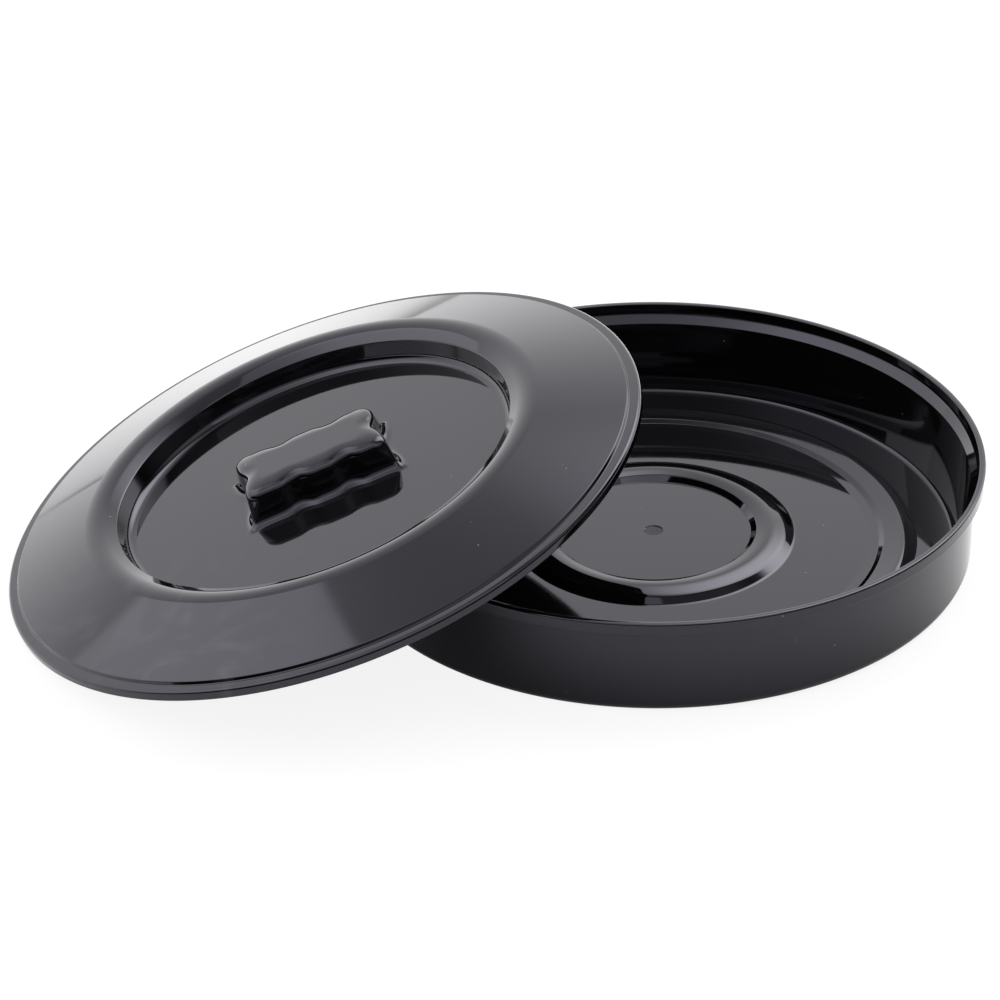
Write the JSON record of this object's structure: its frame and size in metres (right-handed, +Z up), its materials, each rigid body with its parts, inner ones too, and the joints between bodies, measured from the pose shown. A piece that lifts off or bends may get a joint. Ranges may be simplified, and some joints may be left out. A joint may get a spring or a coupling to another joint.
{
  "type": "tortilla warmer",
  "caption": "Shallow round black plastic pan with a ringed floor and stepped rim, and a dished lid with a fluted oblong grip, taken off and leaned on the pan.",
  "frame": {"origin": "on the pan's axis, in the plane of its foot, which is the table", "axes": "+Z up along the pan's axis; the lid leans out towards -X; +Y completes the frame, along the table"},
  "size_m": [0.2973, 0.2023, 0.0632],
  "materials": {
    "black_plastic": "smooth gloss moulding"
  },
  "bodies": {
    "pan": {"pan": "black_plastic"},
    "lid": {"lid": "black_plastic"}
  },
  "joints": [
    {"name": "lid_lift", "type": "slide", "parent": "pan", "child": "lid", "axis": [0, 0, 1], "range_m": [0, 0.08]}
  ]
}
